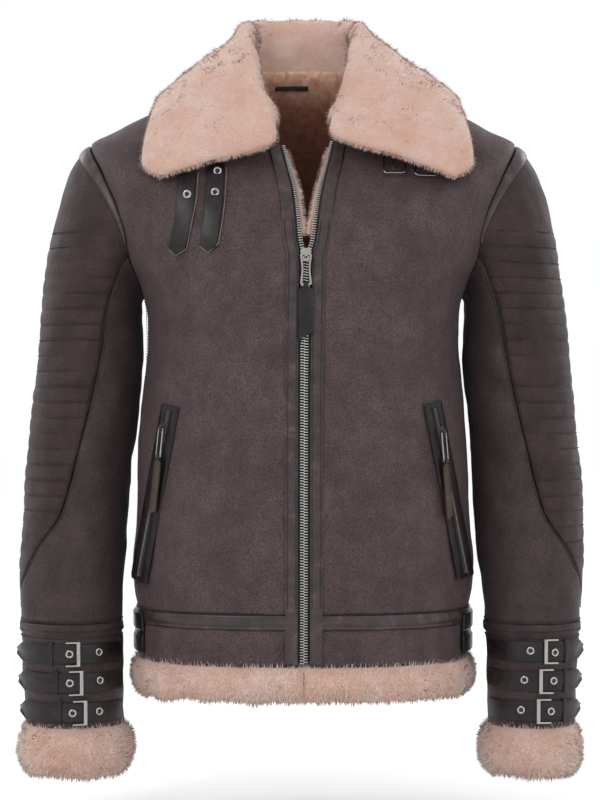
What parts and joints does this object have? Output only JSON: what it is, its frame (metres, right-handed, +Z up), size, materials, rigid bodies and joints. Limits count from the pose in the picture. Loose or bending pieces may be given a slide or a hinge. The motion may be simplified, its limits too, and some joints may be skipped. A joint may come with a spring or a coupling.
{
  "type": "sheepskin flying jacket",
  "caption": "Filled-out sheepskin jacket zipped to the chest, with a broad open fur collar, ribbed sleeves, strapped cuffs and fur at hem and cuffs.",
  "frame": {"origin": "between the shoulders, level with the back neck seam, where the wearer carries the jacket", "axes": "+Z up, -Y out of the front, +X towards the wearer's left"},
  "size_m": [0.6319, 0.2969, 0.8559],
  "materials": {
    "hide": "napped dark brown sheepskin, worn paler on its high places",
    "trim_leather": "smooth dark grey-brown leather with a low sheen",
    "fleece": "thick cream-pink sheep's wool, in soft locks",
    "metal": "polished nickel plate",
    "zip_tape": "dark woven zip tape with two rows of nickel teeth"
  },
  "bodies": {
    "root": {"front_r": "hide", "front_l": "hide", "back": "hide", "hem_band_front_r": "hide", "hem_band_front_l": "hide", "hem_band_back": "hide", "waist_welt_front_r": "hide", "waist_welt_front_l": "hide", "waist_welt_back": "hide", "sleeve_top_r": "hide", "sleeve_top_l": "hide", "sleeve_cap_l": "hide", "sleeve_under_r": "trim_leather", "sleeve_under_l": "trim_leather", "cuff_band_r": "trim_leather", "cuff_band_l": "trim_leather", "shoulder_strip_r": "trim_leather", "shoulder_strip_l": "trim_leather", "zip_facing_r": "trim_leather", "zip_facing_l": "trim_leather", "pocket_welt_r": "trim_leather", "pocket_welt_l": "trim_leather", "collar_strap_1": "trim_leather", "collar_strap_2": "trim_leather", "collar_chape_1": "trim_leather", "collar_chape_2": "trim_leather", "cuff_strap_r1": "trim_leather", "cuff_strap_r2": "trim_leather", "cuff_strap_r3": "trim_leather", "cuff_strap_l1": "trim_leather", "cuff_strap_l2": "trim_leather", "cuff_strap_l3": "trim_leather", "side_tab_r": "trim_leather", "side_tab_l": "trim_leather", "hanger_loop": "trim_leather", "collar": "fleece", "cuff_fur_r": "fleece", "cuff_fur_l": "fleece", "hem_fur": "fleece", "zip_slider": "metal", "pocket_zip_r": "metal", "pocket_zip_l": "metal", "cuff_buckle_r1": "metal", "cuff_buckle_r2": "metal", "cuff_buckle_r3": "metal", "cuff_buckle_l1": "metal", "cuff_buckle_l2": "metal", "cuff_buckle_l3": "metal", "zip_tape_r": "zip_tape", "zip_tape_l": "zip_tape"},
    "zip_pull_body": {"zip_pull": "metal", "zip_pull_tab": "trim_leather"},
    "pocket_pull_body_r": {"pocket_pull_r": "metal", "pocket_tab_r": "trim_leather"},
    "pocket_pull_body_l": {"pocket_pull_l": "metal", "pocket_tab_l": "trim_leather"},
    "buckle_body_1": {"collar_buckle_1": "metal"},
    "prong_body_1": {"collar_prong_1": "metal"},
    "buckle_body_2": {"collar_buckle_2": "metal"},
    "prong_body_2": {"collar_prong_2": "metal"}
  },
  "joints": [
    {"name": "zip_pull_swing", "type": "hinge", "parent": "root", "child": "zip_pull_body", "pos_m": [0.00291, -0.14666, -0.20897], "axis": [-1, -0.0012, 0.0001], "range_deg": [0, 160]},
    {"name": "pocket_pull_swing_r", "type": "hinge", "parent": "root", "child": "pocket_pull_body_r", "pos_m": [-0.15207, -0.10973, -0.3933], "axis": [-0.7013, 0.7036, 0.1145], "range_deg": [0, 150]},
    {"name": "pocket_pull_swing_l", "type": "hinge", "parent": "root", "child": "pocket_pull_body_l", "pos_m": [0.15012, -0.11197, -0.39777], "axis": [-0.7227, -0.6864, -0.0806], "range_deg": [0, 150]},
    {"name": "buckle_swing_1", "type": "hinge", "parent": "root", "child": "buckle_body_1", "pos_m": [0.09842, -0.08889, -0.09831], "axis": [-0.9997, 0.0197, -0.0116], "range_deg": [0, 10]},
    {"name": "prong_swing_1", "type": "hinge", "parent": "root", "child": "prong_body_1", "pos_m": [0.09842, -0.08889, -0.09831], "axis": [-0.9997, 0.0197, -0.0116], "range_deg": [0, 8]},
    {"name": "buckle_swing_2", "type": "hinge", "parent": "root", "child": "buckle_body_2", "pos_m": [0.13197, -0.09013, -0.1013], "axis": [-0.9987, -0.0431, 0.0258], "range_deg": [0, 10]},
    {"name": "prong_swing_2", "type": "hinge", "parent": "root", "child": "prong_body_2", "pos_m": [0.13197, -0.09013, -0.1013], "axis": [-0.9987, -0.0431, 0.0258], "range_deg": [0, 8]}
  ]
}
